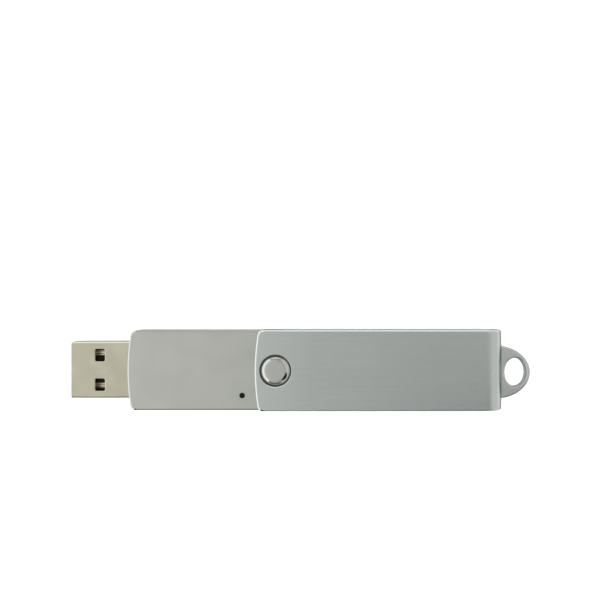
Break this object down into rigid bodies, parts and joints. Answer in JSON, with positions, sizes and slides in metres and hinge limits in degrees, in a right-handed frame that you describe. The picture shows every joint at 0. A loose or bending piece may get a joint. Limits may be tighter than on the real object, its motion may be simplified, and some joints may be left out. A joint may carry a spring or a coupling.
{
  "type": "usb flash drive",
  "caption": "Slim USB flash drive whose satin metal body swings in a folded, brushed steel cover with a key loop.",
  "frame": {"origin": "where the swivel axis meets the outside of the cover's back plate", "axes": "+X along the cover to its fold and key loop, +Y across it, +Z out of the front face; the drive body is swung out, plug towards -X"},
  "size_m": [0.0975, 0.017, 0.008],
  "materials": {
    "cover_steel": "satin",
    "loop_metal": "satin",
    "turned_steel": "satin",
    "polished_steel": "polished",
    "nylon": "satin",
    "case_metal": "satin",
    "black_plastic": "satin",
    "plug_nickel": "satin",
    "board_green": "gloss",
    "chip_black": "matte",
    "tinned_lead": "satin",
    "crystal_metal": "satin",
    "led_body": "satin",
    "smoked_lens": "gloss",
    "ceramic_tan": "satin",
    "resistor_black": "matte",
    "contact_gold": "polished"
  },
  "bodies": {
    "cover": {"cover_clip": "cover_steel", "key_loop": "loop_metal", "pivot_stud": "turned_steel"},
    "drive": {"pivot_hub": "turned_steel", "pivot_cap": "polished_steel", "front_washer": "nylon", "back_washer": "nylon", "case_front": "case_metal", "case_back": "case_metal", "inner_frame": "black_plastic", "plug_shell": "plug_nickel", "plug_insulator": "black_plastic", "circuit_board": "board_green", "flash_chip": "chip_black", "flash_leads": "tinned_lead", "controller_chip": "chip_black", "controller_leads": "tinned_lead", "crystal_can": "crystal_metal", "regulator": "chip_black", "status_led": "led_body", "light_pipe": "smoked_lens", "capacitors": "ceramic_tan", "resistors": "resistor_black", "contact_vbus": "contact_gold", "contact_data_minus": "contact_gold", "contact_data_plus": "contact_gold", "contact_ground": "contact_gold"}
  },
  "joints": [
    {"name": "swivel", "type": "hinge", "parent": "cover", "child": "drive", "pos_m": [0, 0, 0.004], "axis": [0, 0, 1], "continuous": true}
  ]
}
